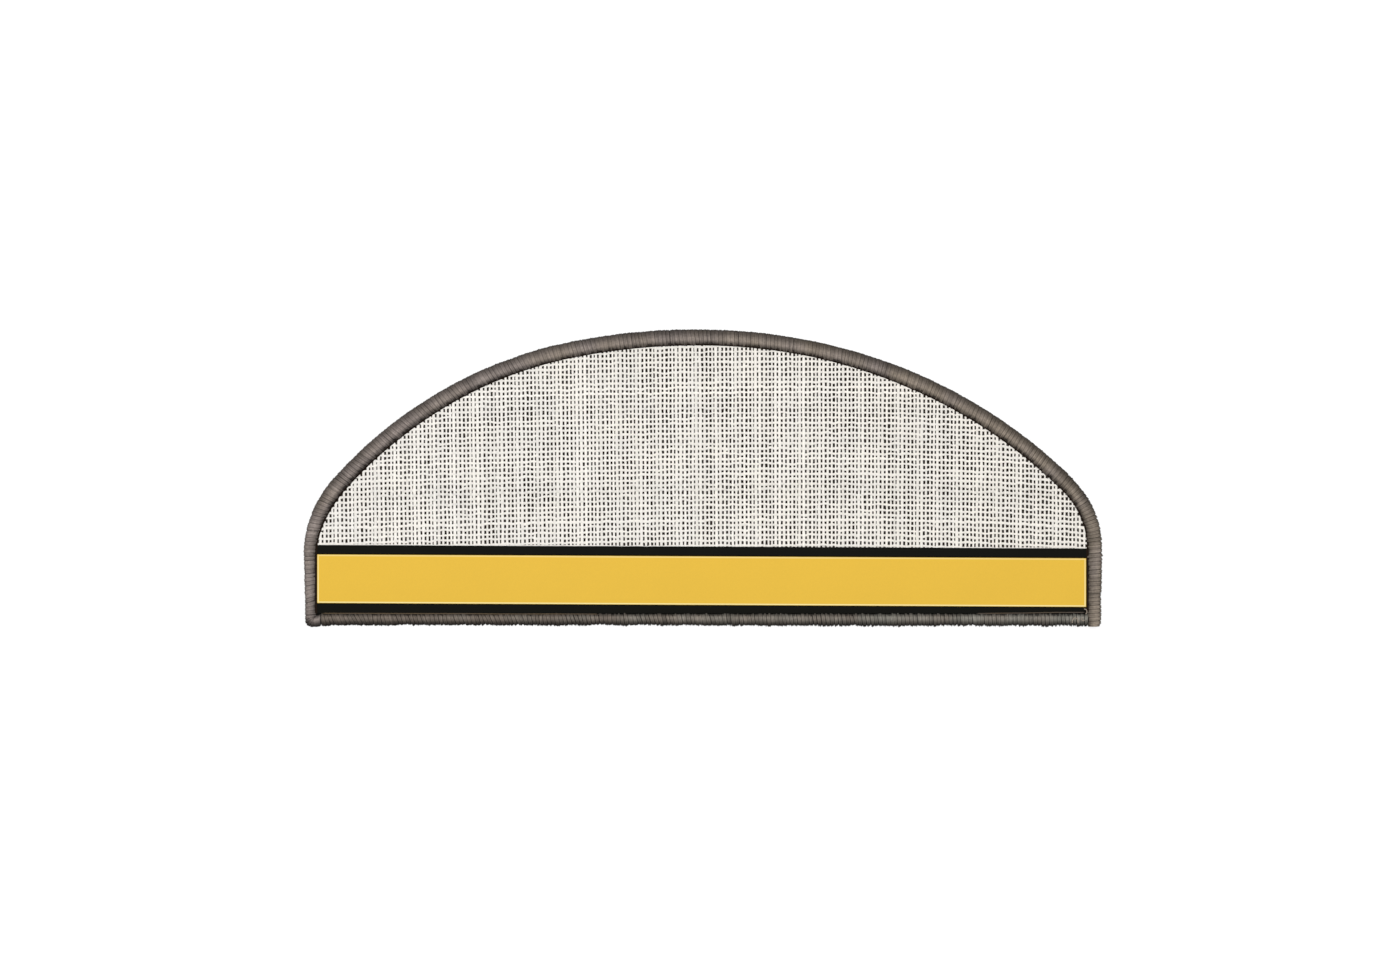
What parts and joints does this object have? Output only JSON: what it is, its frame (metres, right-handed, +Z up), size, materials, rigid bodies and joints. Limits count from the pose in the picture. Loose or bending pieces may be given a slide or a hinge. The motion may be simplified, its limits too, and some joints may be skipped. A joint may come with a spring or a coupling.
{
  "type": "stair tread mat",
  "caption": "Anti-slip stair tread mat with an arched back edge, a woven face on a rubber backing, a contrast nosing strip along the straight front and an overcast yarn edge.",
  "frame": {"origin": "on the floor, below the middle of the mat's bounding box", "axes": "+X along the straight front edge to the right as seen from above with the arch away from the viewer, +Y towards the arched back edge, +Z up out of the walking face"},
  "size_m": [0.649, 0.2424, 0.007],
  "materials": {
    "backing_rubber": "matte",
    "woven_yarn": "matte",
    "band_rubber": "matte",
    "insert_vinyl": "satin",
    "overcast_yarn": "matte"
  },
  "bodies": {
    "root": {"rubber_backing": "backing_rubber", "woven_face": "woven_yarn", "nosing_band": "band_rubber", "contrast_insert": "insert_vinyl", "overcast_arch_run": "overcast_yarn", "overcast_front_run": "overcast_yarn"}
  },
  "joints": []
}
